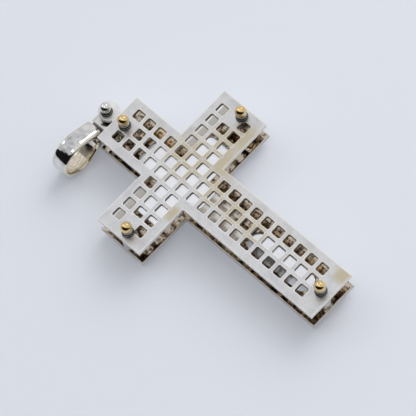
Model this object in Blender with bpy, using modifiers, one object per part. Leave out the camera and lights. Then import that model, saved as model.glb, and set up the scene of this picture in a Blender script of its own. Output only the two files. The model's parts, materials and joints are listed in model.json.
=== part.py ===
"""Cross pendant: two pierced cross plates on gold ball-headed rivets, and a ring bail that swivels.

The pendant lies on its back. X runs across the arms, Y up the cross to the bail, and Z up from the table.
All sizes below are in millimetres.
"""

import math

import bmesh
import bpy

MM = 0.001
FIT = 0.1
WELD = 1e-4
SMOOTH_BELOW = 35.0

# Cross outline, the same for both plates. Reaches are measured from the middle of the crossing.
LIMB_WIDTH = 9.7
TOP_REACH = 15.4
ARM_REACH = 15.45
FOOT_REACH = 34.2
PLATE_THICKNESS = 0.9
PLATE_GAP = 3.35
BACK_HEAD_HEIGHT = 1.6

# Round tab at the top of each plate, and the narrow root that joins it.
TAB_RADIUS = 1.9
TAB_Y = 17.3
TAB_ROOT_WIDTH = 2.1
TAB_STEPS = 32

# Square lattice of the front plate: rows and columns are counted from the crossing's middle hole.
PITCH = 2.5
HOLE_SIDE = 1.8
LATTICE_SHIFT = (0.13, 0.25)
STEM_ROWS = range(-12, 6)
ARM_COLUMNS = range(-5, 6)
LIMB_LANES = (-1, 0, 1)
LEFT_OUT_FOR_RIVETS = {(0, 5), (-5, 0), (5, 0)}

# Back plate: a cross-shaped window round the crossing, and a slot with round ends in the foot.
WINDOW_ARM_REACH = 9.1
WINDOW_ARM_HALF_WIDTH = 3.1
WINDOW_STEM_HALF_WIDTH = 2.4
WINDOW_TOP_REACH = 9.2
WINDOW_FOOT_REACH = 5.4
WINDOW_CORNER_RADIUS = 1.2
WINDOW_CORNER_STEPS = 4
SLOT_HALF_WIDTH = 1.9
SLOT_ENDS = (-29.2, -15.2)
SLOT_END_STEPS = 12

# Rivet places, measured from the middle of the crossing.
RIVETS = {
    "top": (-0.3, 13.15),
    "left": (-13.9, -0.9),
    "right": (13.75, -0.85),
    "foot": (-0.5, -32.4),
}
BAIL_PIVOT = (-0.5, 17.3)

SHANK_RADIUS = 0.55
BORE_RADIUS = 0.7
SPACER_RADIUS = 1.5
BALL_RADIUS = 1.0
BALL_HEIGHT = 2.4
BAIL_BALL_RADIUS = 1.0
BAIL_BALL_HEIGHT = 1.85
BACK_HEAD_RADIUS = 1.2
TURNED_SEGMENTS = 20
BALL_STEPS = 8
DOME_STEPS = 5
DOME_SHARE = 0.8

# Collar steps on the front plate, from its foot upwards: radius and height of each turned ring.
COLLAR_STEPS = ((1.12, 0.42), (0.86, 0.14), (1.02, 0.34), (0.8, 0.14), (0.9, 0.3))
BAIL_COLLAR_STEPS = COLLAR_STEPS[:3]

# Bail: a ring band whose shoulders run in to a brow, and past a groove to the knuckle on the neck.
# Reaches are from the bail rivet's axis.
RING_REACH = 8.3
RING_RADIUS = 4.1
RING_WALL = 0.8
SHOULDER_WALL = 0.9
BAND_WIDTH = 3.2
SHOULDER_REACH = 4.5
SHOULDER_HALF_HEIGHT = 2.95
BROW_REACH = 3.0
BROW_HALF_HEIGHT = 2.45
NECK_REACH = 2.8
NECK_HALF_HEIGHT = 0.95
NECK_WIDTH = 2.4
EYE_REACH = 4.6
KNUCKLE_RADIUS = 1.7
KNUCKLE_REACH = 2.45
KNUCKLE_WIDTH = 3.0
KNUCKLE_HEIGHT = 2.75
BORE_CUT_HEIGHT = 6.7
BAND_EDGE = 0.2
BAND_EDGE_SEGMENTS = 2
BAND_EDGE_ABOVE = 50.0
RING_STEPS = 28

# Heights above the table, and the crossing's place on Y that puts the origin under the pendant's middle.
BACK_PLATE_Z = BACK_HEAD_HEIGHT
FRONT_PLATE_Z = BACK_PLATE_Z + PLATE_THICKNESS + PLATE_GAP
FRONT_FACE_Z = FRONT_PLATE_Z + PLATE_THICKNESS
GAP_MIDDLE_Z = FRONT_PLATE_Z - PLATE_GAP / 2
CROSSING_Y = (FOOT_REACH - TAB_Y - TAB_RADIUS) / 2

COLOURS = {
    "white_gold_satin": ((0.72, 0.71, 0.69), 0.38),
    "white_gold_polished": ((0.80, 0.79, 0.76), 0.10),
    "yellow_gold": ((0.86, 0.64, 0.28), 0.12),
}


def clear_scene():
    """Remove every object that the startup file holds."""
    for obj in list(bpy.data.objects):
        bpy.data.objects.remove(obj, do_unlink=True)


def new_collection(name):
    """New collection, linked to the scene."""
    collection = bpy.data.collections.new(name)
    bpy.context.scene.collection.children.link(collection)
    return collection


def metal(name):
    """Material of one of the colours, made on its first use."""
    colour, roughness = COLOURS[name]
    material = bpy.data.materials.get(name) or bpy.data.materials.new(name)
    material.use_nodes = True
    shader = material.node_tree.nodes["Principled BSDF"]
    shader.inputs["Base Color"].default_value = (*colour, 1.0)
    shader.inputs["Metallic"].default_value = 1.0
    shader.inputs["Roughness"].default_value = roughness
    return material


def on_cross(x, y, z):
    """World place, in metres, of a point measured in millimetres from the middle of the crossing."""
    return (x * MM, (y + CROSSING_Y) * MM, z * MM)


def cross_outline():
    """Outline of a plate: a Latin cross with a round tab, on a narrow root, at its top."""
    half = LIMB_WIDTH / 2
    root = TAB_ROOT_WIDTH / 2
    low = -math.degrees(math.acos(root / TAB_RADIUS))
    return [
        (half, TOP_REACH), (root, TOP_REACH), *arc((0, TAB_Y), TAB_RADIUS, low, 180 - low, TAB_STEPS),
        (-root, TOP_REACH), (-half, TOP_REACH), (-half, half), (-ARM_REACH, half),
        (-ARM_REACH, -half), (-half, -half), (-half, -FOOT_REACH), (half, -FOOT_REACH),
        (half, -half), (ARM_REACH, -half), (ARM_REACH, half), (half, half),
    ]


def square(centre_x, centre_y, side):
    """Corners of a square about its centre."""
    half = side / 2
    corners = ((half, half), (-half, half), (-half, -half), (half, -half))
    return [(centre_x + x, centre_y + y) for x, y in corners]


def arc(centre, radius, start, end, steps):
    """Points of an arc, from one angle in degrees to the other."""
    angles = [math.radians(start + (end - start) * i / steps) for i in range(steps + 1)]
    return [(centre[0] + radius * math.cos(a), centre[1] + radius * math.sin(a)) for a in angles]


def lattice_holes():
    """Outlines of the square holes of the front plate, without those that rivets take up."""
    cells = {(column, row) for column in LIMB_LANES for row in STEM_ROWS}
    cells |= {(column, row) for column in ARM_COLUMNS for row in LIMB_LANES}
    shift_x, shift_y = LATTICE_SHIFT
    return [
        square(column * PITCH + shift_x, row * PITCH + shift_y, HOLE_SIDE)
        for column, row in sorted(cells - LEFT_OUT_FOR_RIVETS)
    ]


def window_outline():
    """Cross-shaped window whose four ends have rounded corners."""
    r, steps = WINDOW_CORNER_RADIUS, WINDOW_CORNER_STEPS
    half, arm, stem = WINDOW_ARM_HALF_WIDTH, WINDOW_ARM_REACH, WINDOW_STEM_HALF_WIDTH
    top, foot = WINDOW_TOP_REACH, WINDOW_FOOT_REACH
    return (
        arc((stem - r, top - r), r, 0, 90, steps) + arc((r - stem, top - r), r, 90, 180, steps)
        + [(-stem, half)]
        + arc((r - arm, half - r), r, 90, 180, steps) + arc((r - arm, r - half), r, 180, 270, steps)
        + [(-stem, -half)]
        + arc((r - stem, r - foot), r, 180, 270, steps) + arc((stem - r, r - foot), r, 270, 360, steps)
        + [(stem, -half)]
        + arc((arm - r, r - half), r, 270, 360, steps) + arc((arm - r, half - r), r, 0, 90, steps)
        + [(stem, half)]
    )


def slot_outline():
    """Slot along the stem, with a half circle at each end."""
    foot, top = SLOT_ENDS
    r, steps = SLOT_HALF_WIDTH, SLOT_END_STEPS
    return arc((0, top - r), r, 0, 180, steps) + arc((0, foot + r), r, 180, 360, steps)


def flat_shape(name, outlines, thickness):
    """Mesh object of a flat shape: the first outline is filled and the others are holes in it.

    The curve is drawn with a millimetre to the unit, because its fill is coarse on small shapes.
    """
    curve = bpy.data.curves.new(name, "CURVE")
    curve.dimensions = "2D"
    curve.fill_mode = "BOTH"
    curve.extrude = thickness / 2
    for outline in outlines:
        spline = curve.splines.new("POLY")
        spline.points.add(len(outline) - 1)
        for point, (x, y) in zip(spline.points, outline):
            point.co = (x, y, 0.0, 1.0)
        spline.use_cyclic_u = True
    drawn = bpy.data.objects.new(name + "_drawn", curve)
    PARTS.objects.link(drawn)
    bpy.context.view_layer.update()
    graph = bpy.context.evaluated_depsgraph_get()
    mesh = bpy.data.meshes.new_from_object(drawn.evaluated_get(graph))
    bpy.data.objects.remove(drawn, do_unlink=True)
    bm = bmesh.new()
    bm.from_mesh(mesh)
    bmesh.ops.remove_doubles(bm, verts=bm.verts, dist=WELD)
    bmesh.ops.scale(bm, vec=(MM, MM, MM), verts=bm.verts)
    bmesh.ops.recalc_face_normals(bm, faces=bm.faces)
    bm.to_mesh(mesh)
    bm.free()
    mesh.name = name
    flat = bpy.data.objects.new(name, mesh)
    PARTS.objects.link(flat)
    return flat


def finish(obj, material_name, smooth=True):
    """Give the piece its metal and, where it is round, its smooth shading."""
    obj.data.materials.clear()
    obj.data.materials.append(metal(material_name))
    if smooth:
        obj.data.shade_smooth()
        obj.data.set_sharp_from_angle(angle=math.radians(SMOOTH_BELOW))
    return obj


def cylinder(name, radius, height, place):
    """Upright helper cylinder, its foot at the place given."""
    mesh = bpy.data.meshes.new(name)
    bm = bmesh.new()
    bmesh.ops.create_cone(
        bm,
        cap_ends=True,
        segments=TURNED_SEGMENTS,
        radius1=radius * MM,
        radius2=radius * MM,
        depth=height * MM,
    )
    bmesh.ops.translate(bm, vec=(0.0, 0.0, height * MM / 2), verts=bm.verts)
    bm.to_mesh(mesh)
    bm.free()
    obj = bpy.data.objects.new(name, mesh)
    obj.location = place
    HELPERS.objects.link(obj)
    return obj


def box(name, size, place):
    """Helper box centred on the place given."""
    mesh = bpy.data.meshes.new(name)
    bm = bmesh.new()
    bmesh.ops.create_cube(bm, size=1.0)
    bmesh.ops.scale(bm, vec=[side * MM for side in size], verts=bm.verts)
    bm.to_mesh(mesh)
    bm.free()
    obj = bpy.data.objects.new(name, mesh)
    obj.location = place
    HELPERS.objects.link(obj)
    return obj


def boolean(obj, other, operation):
    """Boolean with a helper object, which is kept out of the render."""
    modifier = obj.modifiers.new(other.name, "BOOLEAN")
    modifier.operation = operation
    modifier.solver = "EXACT"
    modifier.object = other
    other.hide_render = True
    other.display_type = "WIRE"


def turned(name, profile, place, closed=False):
    """Solid of revolution about Z. The profile's points are (radius, height) and run down its outer side."""
    mesh = bpy.data.meshes.new(name)
    points = [(radius * MM, 0.0, height * MM) for radius, height in profile]
    edges = [(i, i + 1) for i in range(len(points) - 1)]
    if closed:
        edges.append((len(points) - 1, 0))
    mesh.from_pydata(points, edges, [])
    obj = bpy.data.objects.new(name, mesh)
    obj.location = place
    PARTS.objects.link(obj)
    screw = obj.modifiers.new("turn", "SCREW")
    screw.steps = TURNED_SEGMENTS
    screw.render_steps = TURNED_SEGMENTS
    screw.use_merge_vertices = True
    screw.merge_threshold = WELD * MM
    screw.use_smooth_shade = True
    return obj


def plate(name, openings, z):
    """Cross plate, pierced with its openings and the bores of the five rivets. z is its lower face's height."""
    bores = [
        arc(centre, BORE_RADIUS, 0, 360, TURNED_SEGMENTS)[:-1] for centre in (*RIVETS.values(), BAIL_PIVOT)
    ]
    solid = flat_shape(name, [cross_outline(), *openings, *bores], PLATE_THICKNESS)
    solid.location = on_cross(0, 0, z + PLATE_THICKNESS / 2)
    return finish(solid, "white_gold_satin", smooth=False)


def spacer(name, place):
    """Thick tube between the two plates."""
    height = PLATE_GAP - 2 * FIT
    profile = [(SPACER_RADIUS, height), (SPACER_RADIUS, 0.0), (BORE_RADIUS, 0.0), (BORE_RADIUS, height)]
    return finish(turned(name, profile, place, closed=True), "white_gold_polished")


def collar(name, steps, place):
    """Stack of turned rings round the rivet's shank, the widest at the foot."""
    outer = []
    level = 0.0
    for radius, height in steps:
        outer += [(radius, level), (radius, level + height)]
        level += height
    profile = [*reversed(outer), (BORE_RADIUS, 0.0), (BORE_RADIUS, level)]
    return finish(turned(name, profile, place, closed=True), "white_gold_polished")


def ball_rivet(name, ball_radius, ball_height, material_name, place):
    """Ball head, straight shank through both plates, and a domed head behind. Heights are from the table."""
    ball_z = FRONT_FACE_Z + ball_height
    meet = math.asin(SHANK_RADIUS / ball_radius)
    sweep = (math.pi - meet) / BALL_STEPS
    ball = [
        (ball_radius * math.sin(i * sweep), ball_z + ball_radius * math.cos(i * sweep))
        for i in range(BALL_STEPS + 1)
    ]
    head_top = BACK_HEAD_HEIGHT - FIT
    dome_height = head_top * DOME_SHARE
    dome = [
        (BACK_HEAD_RADIUS * math.cos(a), dome_height * (1 - math.sin(a)))
        for a in (math.pi / 2 * i / DOME_STEPS for i in range(DOME_STEPS))
    ]
    profile = [*ball, (SHANK_RADIUS, head_top), (BACK_HEAD_RADIUS, head_top), *dome, (0.0, 0.0)]
    return finish(turned(name, profile, place), material_name)


def bail_outlines():
    """Side view of the bail, as (reach from its rivet's axis, height from the middle of the plates' gap)."""
    back = RING_REACH - SHOULDER_REACH
    toward_shoulder = math.degrees(math.atan2(SHOULDER_HALF_HEIGHT, -back))
    off_tangent = math.degrees(math.acos(RING_RADIUS / math.hypot(back, SHOULDER_HALF_HEIGHT)))
    start = toward_shoulder - off_tangent
    centre = (RING_REACH, 0.0)
    shoulder = [
        (SHOULDER_REACH, SHOULDER_HALF_HEIGHT),
        (BROW_REACH, BROW_HALF_HEIGHT),
        (NECK_REACH, NECK_HALF_HEIGHT),
    ]
    eye_end = [
        (SHOULDER_REACH + RING_WALL, SHOULDER_HALF_HEIGHT - SHOULDER_WALL),
        (EYE_REACH, NECK_HALF_HEIGHT),
    ]
    outlines = []
    for radius, upper in ((RING_RADIUS, shoulder), (RING_RADIUS - RING_WALL, eye_end)):
        lower = [(reach, -height) for reach, height in upper]
        outlines.append(arc(centre, radius, -start, start, RING_STEPS) + upper + lower[::-1])
    return outlines


def bail(place):
    """Ring band with its shoulders, neck and square-ended knuckle, swung out along -X about the bail rivet."""
    ring = flat_shape("bail", bail_outlines(), BAND_WIDTH)
    ring.location = place
    ring.rotation_euler = (math.radians(90), 0.0, math.radians(180))
    edge = ring.modifiers.new("edge", "BEVEL")
    edge.width = BAND_EDGE * MM
    edge.segments = BAND_EDGE_SEGMENTS
    edge.limit_method = "ANGLE"
    edge.angle_limit = math.radians(BAND_EDGE_ABOVE)
    x, y, z = place
    neck_length = NECK_REACH + RING_WALL
    neck = box(
        "bail_neck",
        (neck_length, NECK_WIDTH, 2 * NECK_HALF_HEIGHT),
        (x - neck_length * MM / 2, y, z),
    )
    block = box(
        "bail_knuckle_block",
        (KNUCKLE_REACH, KNUCKLE_WIDTH, KNUCKLE_HEIGHT),
        (x - KNUCKLE_REACH * MM / 2, y, z),
    )
    knuckle = cylinder("bail_knuckle", KNUCKLE_RADIUS, KNUCKLE_HEIGHT, (x, y, z - KNUCKLE_HEIGHT * MM / 2))
    bore = cylinder("bail_bore", BORE_RADIUS, BORE_CUT_HEIGHT, (x, y, z - BORE_CUT_HEIGHT * MM / 2))
    boolean(ring, neck, "UNION")
    boolean(ring, block, "UNION")
    boolean(ring, knuckle, "UNION")
    boolean(ring, bore, "DIFFERENCE")
    return finish(ring, "white_gold_polished")


def main():
    """Build the plates, the five rivets with what stands on their shanks, and the bail."""
    plate("front_plate", lattice_holes(), FRONT_PLATE_Z)
    plate("back_plate", [window_outline(), slot_outline()], BACK_PLATE_Z)
    for name, (x, y) in RIVETS.items():
        spacer(f"spacer_{name}", on_cross(x, y, BACK_PLATE_Z + PLATE_THICKNESS + FIT))
        collar(f"collar_{name}", COLLAR_STEPS, on_cross(x, y, FRONT_FACE_Z + FIT))
        ball_rivet(f"rivet_{name}", BALL_RADIUS, BALL_HEIGHT, "yellow_gold", on_cross(x, y, 0.0))
    collar("bail_collar", BAIL_COLLAR_STEPS, on_cross(*BAIL_PIVOT, FRONT_FACE_Z + FIT))
    foot = on_cross(*BAIL_PIVOT, 0.0)
    ball_rivet("bail_rivet", BAIL_BALL_RADIUS, BAIL_BALL_HEIGHT, "white_gold_polished", foot)
    bail(on_cross(*BAIL_PIVOT, GAP_MIDDLE_Z))


clear_scene()
PARTS = new_collection("cross_pendant")
HELPERS = new_collection("helpers")
main()
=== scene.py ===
"""Looks of a cross pendant: two pierced white-gold plates on ball-headed rivets, with a ring bail.

The pieces are modelled in millimetres, in the part's own frame, and brought to metres when they are
finished. Sizes that the frame holds are read from it; the rest are the fields of the classes below.
"""

from __future__ import annotations

import json
import logging
import math
from collections.abc import Callable, Iterable, Iterator, Sequence
from contextlib import contextmanager
from dataclasses import dataclass, field
from enum import Enum
from functools import reduce

import bmesh
import bpy
from mathutils import Matrix, Vector

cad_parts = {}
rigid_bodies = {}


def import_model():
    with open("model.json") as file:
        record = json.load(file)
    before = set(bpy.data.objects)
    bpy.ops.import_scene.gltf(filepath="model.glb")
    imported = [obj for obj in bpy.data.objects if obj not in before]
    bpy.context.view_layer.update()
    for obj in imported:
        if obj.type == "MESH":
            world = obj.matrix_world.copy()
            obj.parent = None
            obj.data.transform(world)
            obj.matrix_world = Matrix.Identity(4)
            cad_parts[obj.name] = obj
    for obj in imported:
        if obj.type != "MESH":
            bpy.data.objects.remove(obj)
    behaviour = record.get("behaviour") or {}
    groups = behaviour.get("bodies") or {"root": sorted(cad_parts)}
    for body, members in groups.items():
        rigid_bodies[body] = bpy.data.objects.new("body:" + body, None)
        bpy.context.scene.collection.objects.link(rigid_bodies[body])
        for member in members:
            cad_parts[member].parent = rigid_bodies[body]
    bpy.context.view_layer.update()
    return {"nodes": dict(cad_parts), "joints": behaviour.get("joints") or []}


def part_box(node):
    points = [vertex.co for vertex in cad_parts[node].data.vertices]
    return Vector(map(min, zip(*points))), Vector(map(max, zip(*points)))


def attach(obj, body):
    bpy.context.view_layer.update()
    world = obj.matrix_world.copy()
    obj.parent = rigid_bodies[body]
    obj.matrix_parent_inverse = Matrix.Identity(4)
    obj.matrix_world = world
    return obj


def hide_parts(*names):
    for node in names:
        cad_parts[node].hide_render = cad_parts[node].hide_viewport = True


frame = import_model()

MM = 0.001
CLOSE = 1e-3
PITCH = 2.5
SHIFT = (0.13, 0.25)
LOG = logging.getLogger("cross_pendant")

Triple = tuple[float, float, float]
Colour = Triple
Span = tuple[float, float]
Test = Callable[[Vector], bool]


class Kind(Enum):
    """What a selection picks."""

    VERT = "verts"
    EDGE = "edges"
    FACE = "faces"


class Axis(Enum):
    """Directions of the part's frame."""

    X = Vector((1, 0, 0))
    Y = Vector((0, 1, 0))
    Z = Vector((0, 0, 1))


class Slot(Enum):
    """Material slots of the record."""

    SATIN = "white_gold_satin"
    POLISHED = "white_gold_polished"
    YELLOW = "yellow_gold"


class Body(Enum):
    """Bodies of the part."""

    CROSS = "cross"
    BAIL = "bail_ring"


@dataclass(frozen=True)
class Extent:
    """Box of a node, in millimetres."""

    low: Vector
    high: Vector

    @classmethod
    def of(cls, node: str) -> Extent:
        """Box of a node at rest, read from the frame.

        Args:
            node: Name of the node.

        Returns:
            The node's box.
        """
        low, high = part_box(node)
        return cls(low / MM, high / MM)

    @property
    def middle(self) -> Vector:
        """Middle of the box."""
        return (self.low + self.high) / 2

    @property
    def size(self) -> Vector:
        """Sides of the box."""
        return self.high - self.low


class Bench:
    """Blender's operators, as they are used on one piece at a time."""

    @staticmethod
    def clear() -> None:
        """Deselect every object."""
        for obj in bpy.context.view_layer.objects:
            obj.select_set(False)

    @staticmethod
    def activate(obj: bpy.types.Object) -> None:
        """Select one object alone and make it the active one.

        Args:
            obj: The object.
        """
        Bench.clear()
        obj.select_set(True)
        bpy.context.view_layer.objects.active = obj

    @staticmethod
    @contextmanager
    def editing(obj: bpy.types.Object) -> Iterator[None]:
        """Keep an object in edit mode while the block runs.

        Args:
            obj: The object to shape.
        """
        Bench.activate(obj)
        bpy.ops.object.mode_set(mode="EDIT")
        try:
            yield
        finally:
            bpy.ops.object.mode_set(mode="OBJECT")

    @staticmethod
    def pick(kind: Kind, wanted: Callable[..., bool]) -> int:
        """Select, in edit mode, the elements that a test wants and no others.

        Args:
            kind: Whether vertices, edges or faces are picked.
            wanted: The test, which takes one element.

        Returns:
            How many elements are selected.
        """
        bpy.ops.mesh.select_mode(type=kind.name)
        bpy.ops.mesh.select_all(action="DESELECT")
        mesh = bpy.context.edit_object.data
        shape = bmesh.from_edit_mesh(mesh)
        chosen = [element for element in getattr(shape, kind.value) if wanted(element)]
        for element in chosen:
            element.select_set(True)
        bmesh.update_edit_mesh(mesh)
        return len(chosen)

    @staticmethod
    def all() -> None:
        """Select the whole mesh, in edit mode."""
        bpy.ops.mesh.select_all(action="SELECT")

    @staticmethod
    def move(offset: Sequence[float]) -> None:
        """Move what is selected."""
        bpy.ops.transform.translate(value=offset)

    @staticmethod
    def modify(obj: bpy.types.Object, kind: str, **settings: object) -> None:
        """Add a modifier to an object and apply it.

        Args:
            obj: The object to change.
            kind: Type of the modifier.
            **settings: The modifier's properties.
        """
        Bench.activate(obj)
        modifier = obj.modifiers.new(kind.lower(), kind)
        for name, value in settings.items():
            setattr(modifier, name, value)
        bpy.ops.object.modifier_apply(modifier=modifier.name)

    @staticmethod
    def combine(obj: bpy.types.Object, tool: bpy.types.Object, operation: str) -> None:
        """Join a tool object to a piece, or cut it out of it, and throw the tool away.

        Args:
            obj: The piece.
            tool: The object that is joined or cut out.
            operation: UNION or DIFFERENCE.
        """
        Bench.modify(obj, "BOOLEAN", operation=operation, solver="MANIFOLD", object=tool)
        bpy.data.objects.remove(tool, do_unlink=True)

    @staticmethod
    def copy(obj: bpy.types.Object, name: str, offset: Vector) -> bpy.types.Object:
        """Copy a piece, mesh and all, to another place.

        Args:
            obj: The piece to copy.
            name: Name of the copy.
            offset: How far the copy lies from the piece.

        Returns:
            The copy.
        """
        twin = obj.copy()
        twin.data = obj.data.copy()
        twin.name = twin.data.name = name
        bpy.context.scene.collection.objects.link(twin)
        twin.data.transform(Matrix.Translation(offset))
        return twin

    @staticmethod
    def weld() -> None:
        """Merge doubled points and turn every face outwards, in edit mode."""
        Bench.all()
        bpy.ops.mesh.remove_doubles(threshold=CLOSE)
        bpy.ops.mesh.normals_make_consistent(inside=False)


def added(name: str) -> bpy.types.Object:
    """Object that was added last, with its name given to its mesh as well.

    Args:
        name: Its new name.

    Returns:
        The object.
    """
    obj = bpy.context.object
    obj.name = obj.data.name = name
    return obj


def rectangle(name: str, low: Sequence[float], high: Sequence[float]) -> bpy.types.Object:
    """Flat rectangle at height 0.

    Args:
        name: Name of the new object.
        low: Its lower left corner.
        high: Its upper right corner.

    Returns:
        The new object.
    """
    Bench.clear()
    bpy.ops.mesh.primitive_plane_add(size=1)
    obj = added(name)
    with Bench.editing(obj):
        Bench.all()
        bpy.ops.transform.resize(value=(high[0] - low[0], high[1] - low[1], 1))
        Bench.move(((low[0] + high[0]) / 2, (low[1] + high[1]) / 2, 0))
    return obj


def turned(name: str, profile: Sequence[Span], axis: Vector, segments: int) -> bpy.types.Object:
    """Round piece drawn up from a circle, ring by ring, as on a lathe.

    Args:
        name: Name of the new object.
        profile: Radius and height of each ring. A radius of 0 at either end closes it there. A profile whose
            first and last rings are the same goes round a bore.
        axis: A point on the axis, whose height is added to the profile's.
        segments: How many sides a ring has.

    Returns:
        The new object.
    """
    Bench.clear()
    first, height = profile[0]
    bpy.ops.mesh.primitive_circle_add(
        vertices=segments, radius=max(first, CLOSE), location=(axis.x, axis.y, axis.z + height)
    )
    obj = added(name)
    bpy.ops.object.transform_apply(location=True)
    with Bench.editing(obj):
        Bench.all()
        for radius, level in profile[1:]:
            bpy.ops.mesh.extrude_edges_move(TRANSFORM_OT_translate={"value": (0, 0, level - height)})
            scale = max(radius, CLOSE) / max(first, CLOSE)
            bpy.ops.transform.resize(
                value=(scale, scale, 1), center_override=(axis.x, axis.y, axis.z + level)
            )
            first, height = radius, level
        for radius, level in {profile[0], profile[-1]}:
            if radius == 0:
                tip = Vector((axis.x, axis.y, axis.z + level))
                Bench.pick(Kind.VERT, lambda vert, tip=tip: (vert.co - tip).length < 2 * CLOSE)
                bpy.ops.mesh.merge(type="CENTER")
        Bench.weld()
    return obj


def block(size: Sequence[float], middle: Sequence[float], edge: float = 0.0) -> bpy.types.Object:
    """Upright block.

    Args:
        size: Its sides.
        middle: Its middle.
        edge: How far its edges are rounded off.

    Returns:
        The new object.
    """
    Bench.clear()
    bpy.ops.mesh.primitive_cube_add(size=1)
    obj = added("block")
    with Bench.editing(obj):
        Bench.all()
        bpy.ops.transform.resize(value=size)
        Bench.move(middle)
        if edge:
            bpy.ops.mesh.bevel(offset=edge, segments=3)
    return obj


def drum(radius: float, half_height: float, edge: float, fall: float) -> list[Span]:
    """Profile of a drum with rounded rims.

    Args:
        radius: Radius of the drum.
        half_height: Half of its height.
        edge: How far its rims are rounded off.
        fall: Share of the edge that the middle of the rounding lies below the top.

    Returns:
        Radius and height of each ring.
    """
    shoulder = (radius - edge * 0.3, half_height - edge * fall)
    upper = [(0.0, half_height), (radius - edge, half_height), shoulder, (radius, half_height - edge)]
    return upper + [(reach, -level) for reach, level in reversed(upper)]


def drill(obj: bpy.types.Object, axis: Vector, radius: float, reach: float, segments: int) -> None:
    """Cut a round bore through a piece.

    Args:
        obj: The piece.
        axis: Middle of the bore, which is upright.
        radius: Radius of the bore.
        reach: How far the tool reaches up and down from the middle.
        segments: How many sides the bore has.
    """
    profile = [(0.0, reach), (radius, reach), (radius, -reach), (0.0, -reach)]
    Bench.combine(obj, turned("bore", profile, axis, segments), "DIFFERENCE")


def lofted(name: str, rings: Sequence[Sequence[Vector]]) -> bpy.types.Object:
    """Solid drawn through closed rings, each extruded from the last, with both ends filled.

    Args:
        name: Name of the new object.
        rings: The rings, each with the same number of points.

    Returns:
        The new object.
    """
    Bench.clear()
    bpy.ops.mesh.primitive_circle_add(vertices=len(rings[0]), radius=1)
    obj = added(name)
    with Bench.editing(obj):
        Bench.all()
        shape = bmesh.from_edit_mesh(obj.data)
        shape.verts.ensure_lookup_table()
        order = {vert.index: i for i, vert in enumerate(shape.verts)}
        for vert, point in zip(shape.verts, rings[0]):
            vert.co = point
        for ring in rings[1:]:
            bpy.ops.mesh.extrude_edges_move()
            shape = bmesh.from_edit_mesh(obj.data)
            drawn = {}
            for vert in (vert for vert in shape.verts if vert.select):
                below = next(edge.other_vert(vert) for edge in vert.link_edges if not edge.select)
                drawn[vert.index] = order[below.index]
                vert.co = ring[order[below.index]]
            order = drawn
            bmesh.update_edit_mesh(obj.data)
        Bench.pick(Kind.EDGE, lambda edge: edge.is_boundary)
        bpy.ops.mesh.edge_face_add()
        Bench.weld()
    return obj


def finish(obj: bpy.types.Object, smooth_below: float = 40.0) -> bpy.types.Object:
    """Bring a modelled piece to metres, with its object at the origin, and shade it.

    Args:
        obj: The piece, in millimetres.
        smooth_below: Edges that turn less than this many degrees are shaded smooth.

    Returns:
        The piece.
    """
    Bench.activate(obj)
    obj.scale = (MM, MM, MM)
    bpy.ops.object.transform_apply(location=True, rotation=True, scale=True)
    bpy.ops.object.shade_smooth_by_angle(angle=math.radians(smooth_below))
    Bench.modify(obj, "WEIGHTED_NORMAL", keep_sharp=True)
    return obj


class Signal:
    """Output socket that takes Python's arithmetic and adds the Math nodes for it."""

    def __init__(self, graph: Graph, socket: bpy.types.NodeSocket) -> None:
        """Wrap an output socket of a graph."""
        self.graph = graph
        self.socket = socket

    def _math(self, operation: str, *values: Signal | float) -> Signal:
        """Math node on the given values, in their order."""
        numbered = dict(enumerate(values))
        return self.graph.node("ShaderNodeMath", {"operation": operation}, numbered)

    def __add__(self, other: Signal | float) -> Signal:
        """Sum."""
        return self._math("ADD", self, other)

    def __radd__(self, other: float) -> Signal:
        """Sum, with the number first."""
        return self._math("ADD", other, self)

    def __sub__(self, other: Signal | float) -> Signal:
        """Difference."""
        return self._math("SUBTRACT", self, other)

    def __rsub__(self, other: float) -> Signal:
        """Difference, with the number first."""
        return self._math("SUBTRACT", other, self)

    def __mul__(self, other: Signal | float) -> Signal:
        """Product."""
        return self._math("MULTIPLY", self, other)

    def __rmul__(self, other: float) -> Signal:
        """Product, with the number first."""
        return self._math("MULTIPLY", other, self)

    def __abs__(self) -> Signal:
        """Size without the sign."""
        return self._math("ABSOLUTE", self)

    def at_least(self, other: Signal | float) -> Signal:
        """The larger of the two values."""
        return self._math("MAXIMUM", self, other)

    def at_most(self, other: Signal | float) -> Signal:
        """The smaller of the two values."""
        return self._math("MINIMUM", self, other)

    def from_multiple(self, step: float) -> Signal:
        """Distance from the nearest multiple of a step."""
        return self._math("PINGPONG", self, step / 2)

    def ramp(self, start: float, end: float) -> Signal:
        """Smooth rise from 0 at start to 1 at end, or a fall where end is the lower.

        Args:
            start: Value that gives 0.
            end: Value that gives 1.

        Returns:
            The ramp, between 0 and 1.
        """
        settings = {"interpolation_type": "SMOOTHSTEP"}
        values = {"Value": self, "From Min": start, "From Max": end}
        return self.graph.node("ShaderNodeMapRange", settings, values)


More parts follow.
